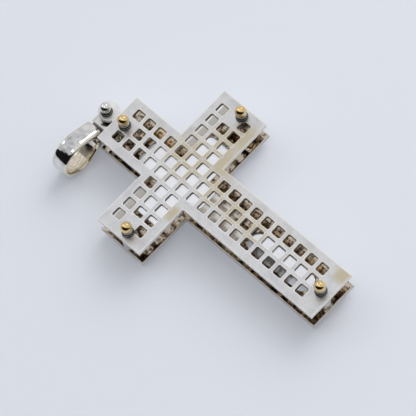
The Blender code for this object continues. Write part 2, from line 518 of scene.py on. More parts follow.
class Graph:
    """Node tree of a material or of the world."""

    def __init__(self, owner: bpy.types.Material | bpy.types.World, shader: str) -> None:
        """Start on the node tree of its owner.

        Args:
            owner: The material or the world.
            shader: Name of its shader node.
        """
        owner.use_nodes = True
        self.owner = owner
        self.tree = owner.node_tree
        self.shader = self.tree.nodes[shader]

    @classmethod
    def of_material(cls, name: str) -> Graph:
        """New material on a Principled shader."""
        return cls(bpy.data.materials.new(name), "Principled BSDF")

    def colour(self, value: Signal | Sequence[float]) -> None:
        """Set the base colour."""
        self.put(self.shader.inputs["Base Color"], value)

    def roughness(self, value: Signal | float) -> None:
        """Set the roughness."""
        self.put(self.shader.inputs["Roughness"], value)

    def metal(self, value: Signal | float = 1.0) -> None:
        """Set how much of a metal the surface is."""
        self.put(self.shader.inputs["Metallic"], value)

    def put(self, socket: bpy.types.NodeSocket, value: object) -> None:
        """Link a signal to an input socket, or set the socket's own value.

        Args:
            socket: The input socket.
            value: The signal, or the value.
        """
        if isinstance(value, Signal):
            self.tree.links.new(value.socket, socket)
        else:
            socket.default_value = value

    def node(
        self, kind: str, settings: dict[str, object], values: dict[str | int, object], out: str | int = 0
    ) -> Signal:
        """Add any node.

        Args:
            kind: Type of the node.
            settings: Its properties, which are set first.
            values: What its input sockets are given, by name, identifier or number.
            out: The output socket that is wanted, by name, identifier or number.

        Returns:
            The output socket.
        """
        node = self.tree.nodes.new(kind)
        for name, value in settings.items():
            setattr(node, name, value)
        for key, value in values.items():
            self.put(self._socket(node.inputs, key), value)
        return Signal(self, self._socket(node.outputs, out))

    @staticmethod
    def _socket(sockets: Sequence[bpy.types.NodeSocket], key: str | int) -> bpy.types.NodeSocket:
        """Socket with that number, identifier or name.

        Args:
            sockets: A node's inputs or outputs.
            key: Number, identifier or name.

        Returns:
            The socket.
        """
        if isinstance(key, int):
            return sockets[key]
        return next(found for found in sockets if key in (found.identifier, found.name) and found.enabled)

    def vector(self, operation: str, place: Signal, other: Sequence[float], out: str = "Vector") -> Signal:
        """Vector Math node on a place and a vector."""
        return self.node("ShaderNodeVectorMath", {"operation": operation}, {0: place, 1: other}, out)

    def place(self) -> Signal:
        """Place on the piece, in millimetres."""
        point = self.node("ShaderNodeTexCoord", {}, {}, "Object")
        return self.stretched(point, (1 / MM, 1 / MM, 1 / MM))

    def along(self, place: Signal, direction: Sequence[float]) -> Signal:
        """How far a place lies along a direction."""
        return self.vector("DOT_PRODUCT", place, direction, "Value")

    def stretched(self, place: Signal, factors: Sequence[float]) -> Signal:
        """Place with each of its coordinates multiplied by a factor."""
        return self.vector("MULTIPLY", place, factors)

    def away(self, place: Signal, centre: Sequence[float]) -> Signal:
        """Distance of a place from a point."""
        return self.vector("DISTANCE", place, centre, "Value")

    def near(self, place: Signal, centre: Sequence[float], reach: float) -> Signal:
        """Mask that is 1 at a point and fades out at a distance from it."""
        return self.away(place, centre).ramp(reach, 0.0)

    def noise(self, place: Signal, scale: float, detail: float = 2.0, roughness: float = 0.5) -> Signal:
        """Noise between 0 and 1.

        Args:
            place: Where it is read.
            scale: How many grains fit on a millimetre.
            detail: How many finer layers it has.
            roughness: How strong the finer layers are.

        Returns:
            The noise.
        """
        values = {"Vector": place, "Scale": scale, "Detail": detail, "Roughness": roughness}
        return self.node("ShaderNodeTexNoise", {}, values, "Fac")

    def mix(self, mask: Signal, first: Signal | Colour, second: Signal | Colour) -> Signal:
        """Mix of two colours.

        Args:
            mask: 0 gives the first colour and 1 the second.
            first: A colour, or a signal.
            second: A colour, or a signal.

        Returns:
            The mixed colour.
        """
        first, second = (value if isinstance(value, Signal) else (*value, 1.0) for value in (first, second))
        values = {"Factor_Float": mask, "A_Color": first, "B_Color": second}
        return self.node("ShaderNodeMix", {"data_type": "RGBA"}, values, "Result_Color")

    def bump(self, height: Signal, depth: float) -> None:
        """Rough the surface up.

        Args:
            height: The relief, between 0 and 1.
            depth: How deep it is, in millimetres.
        """
        values = {"Height": height, "Distance": depth * MM, "Strength": 1.0}
        self.put(self.shader.inputs["Normal"], self.node("ShaderNodeBump", {}, values, "Normal"))


def any_of(masks: Iterable[Signal]) -> Signal:
    """Mask that is as high as the highest of some masks."""
    return reduce(Signal.at_least, masks)


@dataclass(frozen=True)
class Spot:
    """Round place on a plate, where its tone changes."""

    x: float
    y: float
    reach: float


@dataclass(frozen=True)
class Patch:
    """Upright box on a surface, by its least and greatest x and y."""

    low: Span
    high: Span

    @classmethod
    def of_cells(cls, first: tuple[int, int], last: tuple[int, int], margin: float = 0.05) -> Patch:
        """Patch over some cells of the lattice.

        Args:
            first: Column and row of the lowest cell on the left.
            last: Column and row of the highest cell on the right.
            margin: How far the patch reaches past the cells.

        Returns:
            The patch.
        """
        low = tuple(shift + (number - 0.5) * PITCH - margin for shift, number in zip(SHIFT, first))
        high = tuple(shift + (number + 0.5) * PITCH + margin for shift, number in zip(SHIFT, last))
        return cls(low, high)

    def mask(self, graph: Graph, place: Signal, edge: float) -> Signal:
        """Mask that is 1 inside the patch.

        Args:
            graph: The graph it is added to.
            place: Where it is read.
            edge: Width of its fading edge, inside the patch.

        Returns:
            The mask.
        """
        sides = []
        for axis, low, high in zip((Axis.X, Axis.Y), self.low, self.high):
            along = graph.along(place, axis.value)
            sides.append(along.ramp(low, low + edge) * along.ramp(high, high - edge))
        return sides[0] * sides[1]


@dataclass(frozen=True)
class SatinFinish:
    """Satin plate: pale outside, beige where its plating is thin, warm and mirror-like in the gap, with
    painted highlight lines on its cut edges and round the holes, painted shade on the hole walls and as dark
    mottle in the gap, and painted light in places of the gap.

    Places and sizes are in millimetres from the crossing. A span holds the values where a mask starts to
    rise and where it is full.
    """

    name: str
    face_height: float
    gap_side: float
    crossing_y: float
    worn_places: tuple[Spot, ...] = ()
    painted_light_places: tuple[Spot, ...] = ()
    calm_places: tuple[Spot, ...] = ()
    gold_places: tuple[Spot, ...] = ()
    pierced: tuple[Patch, ...] = ()
    left_out: tuple[Patch, ...] = ()
    patch_edge: float = 0.05

    pale: Colour = (0.82, 0.815, 0.82)
    grey: Colour = (0.66, 0.655, 0.67)
    clouds: float = 0.35
    cloud_span: Span = (0.42, 0.68)
    grey_share: float = 0.7
    worn: Colour = (0.68, 0.60, 0.43)
    worn_span: Span = (0.05, 0.85)
    worn_wander: float = 0.5
    node_span: Span = (0.8, 1.1)
    node_share: float = 0.75
    speck: Colour = (0.55, 0.545, 0.54)
    speck_span: Span = (0.35, 0.75)
    speck_share: float = 0.34
    # Painted highlight: glint and warm_glint colour thin lines round the holes and along the outline, white
    # on the left and warm on the right.
    glint: Colour = (0.98, 0.97, 0.96)
    warm_glint: Colour = (0.88, 0.81, 0.66)
    warm_span: Span = (-4.0, 4.0)
    glint_span: Span = (1.06, 0.96)
    glint_share: float = 0.7
    border_share: float = 0.8
    # Share of metal taken off the painted highlight lines and cut edges, so that the lamp lights them white.
    highlight_diffuse_share: float = 0.9

    inner: Colour = (0.66, 0.57, 0.46)
    # Painted light on the inner face, in the painted light places.
    painted_light_inner: Colour = (0.93, 0.90, 0.85)
    calm_inner: Colour = (0.62, 0.585, 0.53)
    place_span: Span = (0.1, 0.6)
    tone_span: Span = (0.0, 0.7)
    # Painted shade: dark mottle on the inner faces in the gap.
    mottled_shade: Colour = (0.085, 0.06, 0.04)
    gap_mottle: float = 1.15
    mottled_shade_span: Span = (0.49, 0.58)
    mottled_shade_share: float = 0.9
    gold: Colour = (0.84, 0.65, 0.44)
    gold_span: Span = (0.40, 0.30)
    gold_share: float = 0.8
    gold_place_span: Span = (0.1, 0.5)
    # Painted shade on the walls of the holes.
    wall: Colour = (0.17, 0.14, 0.11)
    # Painted highlight on the cut edges of the outline.
    edge: Colour = (0.99, 0.985, 0.98)

    outside_span: Span = (0.3, 0.08)
    cut_span: Span = (0.03, 0.1)
    wall_span: Span = (0.08, 0.2)
    wall_end: Span = (0.88, 0.8)
    roughness: float = 0.36
    wall_roughness: float = 0.3
    inner_roughness: float = 0.05
    light_roughness: float = 0.22
    grain_roughness: float = 0.12
    grain: float = 3.6
    grain_depth: float = 0.008
    wave: float = 0.45
    wave_depth: float = 0.045

    half_limb: float = 4.85
    reaches: Triple = (15.45, 15.4, 34.2)
    edge_margin: float = 0.2

    def at_border(self, value: Signal, reach: float) -> Signal:
        """Mask that is 1 from just inside a border on."""
        return value.ramp(reach - self.edge_margin, reach - self.edge_margin / 4)

    def cut_edges(self, x: Signal, y: Signal) -> Signal:
        """Mask of the strip along the cross's outline, where the cut edges are.

        Args:
            x: Place across the cross.
            y: Place along the cross.

        Returns:
            The mask.
        """
        arm, top, foot = self.reaches
        borders = ((abs(x).at_most(abs(y)), self.half_limb), (abs(x), arm), (y, top), (0.0 - y, foot))
        return any_of(self.at_border(value, reach) for value, reach in borders)

    def spotted(self, graph: Graph, place: Signal, spots: Sequence[Spot]) -> Signal:
        """Mask of some round places, or of none."""
        near = (graph.near(place, (spot.x, spot.y, 0), spot.reach) for spot in spots)
        return any_of((graph.along(place, (0, 0, 0)), *near))

    def patched(self, graph: Graph, flat: Signal, patches: Sequence[Patch]) -> Signal:
        """Mask of some patches."""
        return any_of(patch.mask(graph, flat, self.patch_edge) for patch in patches)

    def from_bars(self, x: Signal, y: Signal) -> tuple[Signal, Signal]:
        """Distances from the middle of the nearest column and row of holes."""
        return tuple((value - shift).from_multiple(PITCH) for value, shift in zip((x, y), SHIFT))

    def bright_lines(self, graph: Graph, flat: Signal, x: Signal, y: Signal) -> Signal:
        """Mask of the painted highlight lines: along the outline and round each hole.

        Args:
            graph: The graph it is added to.
            flat: Place from the crossing, at height 0.
            x: Place across the cross.
            y: Place along the cross.

        Returns:
            The mask.
        """
        top = self.reaches[1]
        below_tab = y.ramp(top + self.edge_margin, top + self.edge_margin / 4)
        lines = self.cut_edges(x, y) * below_tab * self.border_share
        if self.pierced:
            glint = any_of(self.from_bars(x, y)).ramp(*self.glint_span) * self.glint_share
            glint = glint * self.patched(graph, flat, self.pierced)
            lines = lines.at_least(glint * (1.0 - self.patched(graph, flat, self.left_out)))
        return lines

    def face_tone(self, graph: Graph, flat: Signal, x: Signal, y: Signal, speckle: Signal) -> Signal:
        """Colour of the outer face without its painted highlight lines: beige bars, grey clouds and specks.

        Args:
            graph: The graph it is added to.
            flat: Place from the crossing, at height 0.
            x: Place across the cross.
            y: Place along the cross.
            speckle: Fine noise.

        Returns:
            The colour.
        """
        clouds = graph.noise(flat, self.clouds, 3.0)
        from_column, from_row = self.from_bars(x, y)
        crossings = from_column.ramp(*self.node_span) * from_row.ramp(*self.node_span)
        if self.pierced:
            crossings = crossings * self.patched(graph, flat, self.pierced)
        worn = self.spotted(graph, flat, self.worn_places) + (clouds - 0.5) * self.worn_wander
        worn = worn.ramp(*self.worn_span) * (1.0 - crossings * self.node_share)
        plain = graph.mix(clouds.ramp(*self.cloud_span) * self.grey_share, self.pale, self.grey)
        face = graph.mix(worn, plain, self.worn)
        return graph.mix(speckle.ramp(*self.speck_span) * self.speck_share, face, self.speck)

    def inner_tone(self, graph: Graph, flat: Signal, light: Signal, calm: Signal) -> Signal:
        """Colour of the inner face: warm, with painted shade as dark mottle and gold patches, painted light
        places and calm places.

        Args:
            graph: The graph it is added to.
            flat: Place from the crossing, at height 0.
            light: Mask of the painted light places.
            calm: Mask of the calm places.

        Returns:
            The colour.
        """
        gap_mottle = graph.noise(flat, self.gap_mottle, 3.0, 0.6)
        golden = self.spotted(graph, flat, self.gold_places).ramp(*self.gold_place_span)
        tone = self.inner
        for mask, colour in (
            # Painted shade mottle in the gap.
            (gap_mottle.ramp(*self.mottled_shade_span) * self.mottled_shade_share, self.mottled_shade),
            (gap_mottle.ramp(*self.gold_span) * self.gold_share, self.gold),
            (golden, self.gold),
            (calm.ramp(*self.tone_span), self.calm_inner),
            (light.ramp(*self.tone_span), self.painted_light_inner),
        ):
            tone = graph.mix(mask, tone, colour)
        return tone

    def make(self) -> bpy.types.Material:
        """Build the material.

        Returns:
            The material.
        """
        graph = Graph.of_material(self.name)
        place = graph.place()
        x = graph.along(place, Axis.X.value)
        y = graph.along(place, Axis.Y.value) - self.crossing_y
        flat = graph.vector("SUBTRACT", graph.stretched(place, (1, 1, 0)), (0, self.crossing_y, 0))
        depth = (self.face_height - graph.along(place, Axis.Z.value)) * self.gap_side
        edges = self.cut_edges(x, y)
        outside = depth.ramp(*self.outside_span).at_least(edges)
        # Painted shade: mask of the hole walls, which are coloured dark.
        shaded_walls = depth.ramp(*self.wall_span) * depth.ramp(*self.wall_end) * (1.0 - edges)
        # Painted light: mask of the bright places on the inner face.
        light = self.spotted(graph, flat, self.painted_light_places).ramp(*self.place_span)
        calm = self.spotted(graph, flat, self.calm_places).ramp(*self.place_span)
        speckle = graph.noise(place, self.grain, 2.0, 0.7)
        waves = graph.noise(place, self.wave, 1.0)
        lines = self.bright_lines(graph, flat, x, y)
        # Painted highlight lines, white on the left and warm on the right.
        rim = graph.mix(x.ramp(*self.warm_span), self.glint, self.warm_glint)
        face = graph.mix(lines, self.face_tone(graph, flat, x, y, speckle), rim)
        # Painted highlight on the cut edges.
        face = graph.mix(edges * depth.ramp(*self.cut_span), face, self.edge)
        hidden = graph.mix(shaded_walls, self.inner_tone(graph, flat, light, calm), self.wall)
        graph.colour(graph.mix(outside, hidden, face))
        rough = self.inner_roughness + light.at_least(calm) * (self.light_roughness - self.inner_roughness)
        rough = rough + shaded_walls * (self.wall_roughness - self.inner_roughness)
        rough = rough + outside * (self.roughness - self.inner_roughness)
        graph.roughness(rough + (speckle - 0.5) * outside * self.grain_roughness)
        # The painted highlight lines and cut edges are made partly non-metal, so that the lamp paints them
        # bright.
        graph.metal(1.0 - lines.at_least(edges) * outside * self.highlight_diffuse_share)
        relief = speckle * outside + waves * (1.0 - outside) * (self.wave_depth / self.grain_depth)
        graph.bump(relief, self.grain_depth)
        return graph.owner


@dataclass(frozen=True)
class PolishedFinish:
    """Polished metal with a faint change of tone, and painted shade in its grooves."""

    name: str
    colour: Colour
    second: Colour
    second_span: Span = (0.35, 0.7)
    roughness: float = 0.06
    cloud_roughness: float = 0.06
    grain: float = 1.2
    grain_depth: float = 0.002
    groove_shade: Colour = (0.05, 0.047, 0.043)
    shaded_levels: tuple[float, ...] = ()
    groove_shade_reach: float = 0.10
    groove_shade_core: float = 0.04

    def make(self) -> bpy.types.Material:
        """Build the material.

        Returns:
            The material.
        """
        graph = Graph.of_material(self.name)
        place = graph.place()
        clouds = graph.noise(place, self.grain, 3.0)
        colour = graph.mix(clouds.ramp(*self.second_span), self.colour, self.second)
        height = graph.along(place, Axis.Z.value)
        # Painted shade at the given heights: the collar's grooves and where it meets the plate.
        for level in self.shaded_levels:
            near = abs(height - level).ramp(self.groove_shade_reach, self.groove_shade_core)
            colour = graph.mix(near, colour, self.groove_shade)
        graph.colour(colour)
        graph.roughness(self.roughness + clouds * self.cloud_roughness)
        graph.metal()
        graph.bump(clouds, self.grain_depth)
        return graph.owner


@dataclass(frozen=True)
class BailFinish:
    """Bright polished band with warm rims, brushed, warmer and duller inside the ring, where it has painted
    highlight streaks and a painted shade patch.

    Shade is painted in the groove behind the brow and on the knuckle under the rim of the tabs, which lie
    over it.
    A span holds the values where a mask starts to rise and where it is full.
    """

    name: str
    pivot: Vector
    ring_reach: float
    inner_radius: float
    outer_radius: float
    half_width: float
    outside_share: Span = (0.15, 0.6)
    colour: Colour = (0.82, 0.80, 0.77)
    grey: Colour = (0.62, 0.62, 0.63)
    grey_span: Span = (0.40, 0.62)
    rims: Colour = (0.86, 0.81, 0.68)
    rim_share: float = 0.6
    inside: Colour = (0.74, 0.65, 0.49)
    # Painted highlight: bright streaks along the brushing inside the ring.
    highlight_streak: Colour = (0.98, 0.95, 0.88)
    highlight_streak_span: Span = (0.45, 0.68)
    # Painted shade: a dark patch inside the ring near the neck's eye.
    shade: Colour = (0.16, 0.13, 0.10)
    shade_place: Triple = (-5.5, -0.3, -1.8)
    shade_reach: float = 1.9
    shade_span: Span = (0.1, 0.8)
    # Painted shade in the groove behind the brow and under the tab's rim.
    hollow_shade: Colour = (0.04, 0.034, 0.028)
    groove_reach: float = 2.74
    groove_span: Span = (0.34, 0.17)
    groove_height: Span = (2.3, 2.1)
    tab_span: Span = (2.15, 2.0)
    near_span: Span = (-0.1, 0.5)
    knuckle_span: Span = (1.275, 1.345)
    roughness: float = 0.07
    inside_roughness: float = 0.2
    brush_roughness: float = 0.1
    grain: float = 0.55
    grain_depth: float = 0.03
    brush: Triple = (1.2, 9.0, 1.2)
    brush_depth: float = 0.014

    def shaded_hollows(self, graph: Graph, place: Signal) -> Signal:
        """Mask of the painted shade in the groove behind the brow and on the knuckle's top under the tab's
        near rim.

        Args:
            graph: The graph it is added to.
            place: Where it is read.

        Returns:
            The mask.
        """
        from_groove = abs(graph.along(place, Axis.X.value) - (self.pivot.x - self.groove_reach))
        rise = graph.along(place, Axis.Z.value) - self.pivot.z
        groove = from_groove.ramp(*self.groove_span) * rise.ramp(*self.groove_height)
        from_pivot = graph.away(graph.stretched(place, (1, 1, 0)), (self.pivot.x, self.pivot.y, 0))
        near_half = (self.pivot.y - graph.along(place, Axis.Y.value)).ramp(*self.near_span)
        return groove.at_least(from_pivot.ramp(*self.tab_span) * near_half * rise.ramp(*self.knuckle_span))

    def make(self) -> bpy.types.Material:
        """Build the material.

        Returns:
            The material.
        """
        graph = Graph.of_material(self.name)
        place = graph.place()
        centre = (self.pivot.x - self.ring_reach, 0, self.pivot.z)
        wall = self.outer_radius - self.inner_radius
        start, full = (self.inner_radius + wall * share for share in self.outside_share)
        outside = graph.away(graph.stretched(place, (1, 0, 1)), centre).ramp(start, full)
        across = abs(graph.along(place, Axis.Y.value) - self.pivot.y)
        clouds = graph.noise(place, self.grain, 1.5)
        brushed = graph.noise(graph.stretched(place, self.brush), 1.0, 3.0, 0.6)
        rims = across.ramp(self.half_width * self.rim_share, self.half_width)
        outer = graph.mix(clouds.ramp(*self.grey_span), self.colour, self.grey)
        outer = graph.mix(rims, outer, self.rims)
        # Painted shade in the hollows.
        outer = graph.mix(self.shaded_hollows(graph, place), outer, self.hollow_shade)
        # Painted shade and painted highlight streaks inside the ring; the brushing also sets the roughness
        # and relief.
        shaded = graph.near(place, self.pivot + Vector(self.shade_place), self.shade_reach)
        inner = graph.mix(brushed.ramp(*self.highlight_streak_span), self.inside, self.highlight_streak)
        inner = graph.mix(shaded.ramp(*self.shade_span), inner, self.shade)
        graph.colour(graph.mix(outside, inner, outer))
        rough = self.inside_roughness + outside * (self.roughness - self.inside_roughness)
        graph.roughness(rough + (brushed - 0.5) * self.brush_roughness)
        graph.metal()
        relief = clouds * outside + brushed * (1.0 - outside) * (self.brush_depth / self.grain_depth)
        graph.bump(relief, self.grain_depth)
        return graph.owner


def dress(obj: bpy.types.Object, material: bpy.types.Material, slot: Slot, body: Body, *nodes: str) -> None:
    """Give a finished piece its material, its body and the nodes it stands for.

    Args:
        obj: The piece.
        material: Its material.
        slot: The record's slot for it. It is not used.
        body: The body it rides on.
        *nodes: The nodes that it replaces.
    """
    obj.data.materials.clear()
    obj.data.materials.append(material)
    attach(obj, body.value)
    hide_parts(*nodes)
    LOG.info("%s: %d faces, for %s", obj.name, len(obj.data.polygons), ", ".join(nodes))


@dataclass
class Plate:
    """Cross plate with rounded rims and a round tab at its top."""

    node: str
    bores: tuple[Vector, ...]
    finish: SatinFinish
    limb_width: float = 9.7
    foot_reach: float = 34.2
    top_reach: float = 15.4
    tab_radius: float = 1.9
    tab_root_width: float = 2.1
    tab_overlap: float = 0.3
    bore_radius: float = 0.7
    rim: float = 0.07
    rim_fall: float = 0.286
    rim_steps: tuple[Span, ...] = ((0.3, 0.714), (0.7, 0.286))
    round_sides: int = 64
    smooth_below: float = 33.0
    extent: Extent = field(init=False)

    def __post_init__(self) -> None:
        """Read the plate's box from the frame."""
        self.extent = Extent.of(self.node)

    @property
    def crossing(self) -> Vector:
        """Middle of the crossing, at the height of the plate's middle."""
        return Vector((0, self.extent.low.y + self.foot_reach, self.extent.middle.z))

    @property
    def half_thickness(self) -> float:
        """Half of the plate's thickness."""
        return self.extent.size.z / 2

    def cut(self, axis: Axis, at: float, where: Test = lambda middle: True) -> None:
        """Scribe a straight line across the blank, in edit mode.

        Args:
            axis: The line is square to this axis.
            at: The line's place on that axis.
            where: Test of a face's middle: only the faces it wants are divided.
        """
        Bench.pick(Kind.FACE, lambda face: where(face.calc_center_bounds()))
        bpy.ops.mesh.bisect(plane_co=axis.value * at, plane_no=axis.value, threshold=CLOSE / 10)

    def cut_pair(self, axis: Axis, reach: float, where: Test = lambda middle: True) -> None:
        """Scribe two lines, one at a distance before the crossing and one behind it, in edit mode."""
        for at in (-reach, reach):
            self.cut(axis, at, where)

    def trim(self) -> None:
        """Delete the four corners outside the cross, in edit mode."""
        half = self.limb_width / 2
        Bench.pick(Kind.FACE, lambda face: all(abs(side) > half for side in face.calc_center_bounds().xy))
        bpy.ops.mesh.delete(type="FACE")

    def pierce(self) -> None:
        """Scribe the outline and the openings, and delete what is cut away. Each plate has its own way."""
        raise NotImplementedError

    def blank(self) -> bpy.types.Object:
        """Pierced cross about the crossing: its upper half, with rounded rims, mirrored to the lower one.

        Returns:
            The new object.
        """
        arm = self.extent.size.x / 2
        sheet = rectangle(self.node + "_dressed", (-arm, -self.foot_reach), (arm, self.top_reach))
        with Bench.editing(sheet):
            self.pierce()
            Bench.all()
            for inward, upward in self.rim_steps:
                bpy.ops.mesh.inset(thickness=self.rim * inward, use_boundary=True, use_even_offset=True)
                Bench.move((0, 0, self.rim * upward))
            wall = self.half_thickness - self.rim
            Bench.pick(Kind.EDGE, lambda edge: edge.is_boundary)
            bpy.ops.mesh.extrude_edges_move(TRANSFORM_OT_translate={"value": (0, 0, -wall)})
            Bench.all()
            Bench.move((0, 0, wall))
        Bench.modify(sheet, "MIRROR", use_axis=(False, False, True), merge_threshold=CLOSE)
        with Bench.editing(sheet):
            Bench.weld()
            Bench.all()
            Bench.move(self.crossing)
        return sheet

    def tab(self) -> bpy.types.Object:
        """Round tab with rounded rims, on the root that joins it to the plate.

        Returns:
            The new object.
        """
        profile = drum(self.tab_radius, self.half_thickness, self.rim, self.rim_fall)
        middle = Vector((0, self.extent.high.y - self.tab_radius, self.extent.middle.z))
        disc = turned(self.node + "_tab", profile, middle, self.round_sides)
        root_low = self.crossing.y + self.top_reach - self.tab_overlap
        size = (self.tab_root_width, middle.y - root_low, self.extent.size.z)
        Bench.combine(disc, block(size, (0, (middle.y + root_low) / 2, middle.z)), "UNION")
        return disc

    def build(self) -> bpy.types.Object:
        """Model the plate and dress it.

        Returns:
            The finished plate.
        """
        plate = self.blank()
        Bench.combine(plate, self.tab(), "UNION")
        for bore in self.bores:
            middle = Vector((bore.x, bore.y, self.extent.middle.z))
            drill(plate, middle, self.bore_radius, self.half_thickness * 4, self.round_sides)
        finish(plate, self.smooth_below)
        dress(plate, self.finish.make(), Slot.SATIN, Body.CROSS, self.node)
        return plate


@dataclass
class FrontPlate(Plate):
    """Front plate, pierced with a square lattice of square holes."""

    hole_side: float = 1.8
    stem_rows: range = range(-12, 6)
    arm_columns: range = range(-5, 6)
    lanes: tuple[int, ...] = (-1, 0, 1)
    left_out: frozenset[tuple[int, int]] = frozenset({(0, 5), (-5, 0), (5, 0)})
    corner_radius: float = 0.26
    corner_steps: int = 3

    def cell(self, point: Vector) -> tuple[int, int]:
        """Column and row of the cell that a point lies in."""
        return tuple(round((at - shift) / PITCH) for at, shift in zip(point.xy, SHIFT))

    def from_centre(self, point: Vector) -> Vector:
        """Place of a point, from the centre of its cell."""
        away = (at - shift - number * PITCH for at, shift, number in zip(point.xy, SHIFT, self.cell(point)))
        return Vector((*away, 0))

    def is_cell(self, face: bmesh.types.BMFace) -> bool:
        """Whether a face is a whole cell of the lattice that gets a hole.

        Args:
            face: The face.

        Returns:
            True for such a cell.
        """
        column, row = key = self.cell(face.calc_center_bounds())
        in_stem = column in self.lanes and row in self.stem_rows
        in_arms = row in self.lanes and column in self.arm_columns
        whole = abs(face.calc_area() - PITCH**2) < CLOSE
        return whole and (in_stem or in_arms) and key not in self.left_out

    def is_hole(self, face: bmesh.types.BMFace) -> bool:
        """Whether a face is the inner square of a cell."""
        centred = self.from_centre(face.calc_center_bounds()).length < CLOSE
        return centred and abs(face.calc_area() - self.hole_side**2) < self.corner_radius**2 * 2

    def at_hole_corner(self, vert: bmesh.types.BMVert) -> bool:
        """Whether a point is a corner of a hole.

        Args:
            vert: The point.

        Returns:
            True for such a corner.
        """
        away = self.from_centre(vert.co)
        half = self.hole_side / 2
        return abs(abs(away.x) - half) < CLOSE and abs(abs(away.y) - half) < CLOSE

    def pierce(self) -> None:
        """Scribe the cells, set each hole in its cell, round its corners and cut it out."""
        half = self.limb_width / 2
        stem_reach = PITCH * len(self.lanes) / 2
        for axis, numbers, shift in zip((Axis.X, Axis.Y), (self.arm_columns, self.stem_rows), SHIFT):
            for number in range(numbers.start, numbers.stop + 1):
                self.cut(axis, (number - 0.5) * PITCH + shift)
        self.cut_pair(Axis.Y, half, lambda middle: abs(middle.x) > stem_reach)
        self.cut_pair(Axis.X, half, lambda middle: abs(middle.y) > half)
        self.trim()
        Bench.pick(Kind.FACE, self.is_cell)
        bpy.ops.mesh.inset(thickness=(PITCH - self.hole_side) / 2, use_individual=True)
        Bench.pick(Kind.VERT, self.at_hole_corner)
        bpy.ops.mesh.bevel(affect="VERTICES", offset=self.corner_radius, segments=self.corner_steps)
        Bench.pick(Kind.FACE, self.is_hole)
        bpy.ops.mesh.delete(type="FACE")


@dataclass
class BackPlate(Plate):
    """Back plate, with a cross-shaped window round the crossing and a slot in the foot."""

    window_arm: Span = (9.1, 3.1)
    window_stem_half: float = 2.4
    window_ends: Span = (-5.4, 9.2)
    window_corner: float = 1.2
    slot_half: float = 1.9
    slot_ends: Span = (-29.2, -15.2)
    slot_round_share: float = 0.995
    corner_steps: int = 8

    def opening(self, point: Vector) -> str | None:
        """Which opening a point lies in.

        Args:
            point: The point, from the crossing.

        Returns:
            Name of the opening, or None outside both.
        """
        arm_reach, arm_half = self.window_arm
        if abs(point.x) < arm_reach and abs(point.y) < arm_half:
            return "window"
        if abs(point.x) < self.window_stem_half and self.window_ends[0] < point.y < self.window_ends[1]:
            return "window"
        if abs(point.x) < self.slot_half and self.slot_ends[0] < point.y < self.slot_ends[1]:
            return "slot"
        return None

    def round_corners(self, corners: Sequence[Span], radius: float) -> None:
        """Round some corners of an opening, in edit mode.

        Args:
            corners: The corners on its right, which its left has too.
            radius: Radius of the rounding.
        """
        places = [Vector((x * side, y, 0)) for x, y in corners for side in (-1, 1)]
        Bench.pick(Kind.VERT, lambda vert: any((vert.co - place).length < CLOSE for place in places))
        bpy.ops.mesh.bevel(affect="VERTICES", offset=radius, segments=self.corner_steps)

    def pierce(self) -> None:
        """Scribe the two openings, round their corners and cut them out."""
        half = self.limb_width / 2
        arm_reach, arm_half = self.window_arm
        half_widths = (self.window_stem_half, self.slot_half)
        self.cut_pair(Axis.X, half)
        self.cut_pair(Axis.Y, half, lambda middle: abs(middle.x) > half)
        self.trim()
        self.cut_pair(Axis.Y, arm_half)
        self.cut_pair(Axis.X, arm_reach, lambda middle: abs(middle.y) < arm_half)
        for level in (*self.window_ends, *self.slot_ends):
            self.cut(Axis.Y, level, lambda middle: abs(middle.x) < half)
        for side in (-1, 1):
            for half_width, (foot, top) in zip(half_widths, (self.window_ends, self.slot_ends)):
                self.cut(Axis.X, side * half_width, lambda middle, low=foot, high=top: low < middle.y < high)
        for name in ("window", "slot"):
            Bench.pick(Kind.FACE, lambda face, name=name: self.opening(face.calc_center_bounds()) == name)
            bpy.ops.mesh.dissolve_faces()
        window_corners = ((arm_reach, arm_half), (arm_reach, -arm_half))
        stem_corners = tuple((self.window_stem_half, level) for level in self.window_ends)
        self.round_corners(window_corners + stem_corners, self.window_corner)
        slot_corners = [(self.slot_half, level) for level in self.slot_ends]
        self.round_corners(slot_corners, self.slot_half * self.slot_round_share)
        least = self.slot_half**2 * 2
        Bench.pick(
            Kind.FACE,
            lambda face: face.calc_area() > least and self.opening(face.calc_center_bounds()) is not None,
        )
        bpy.ops.mesh.delete(type="FACE")


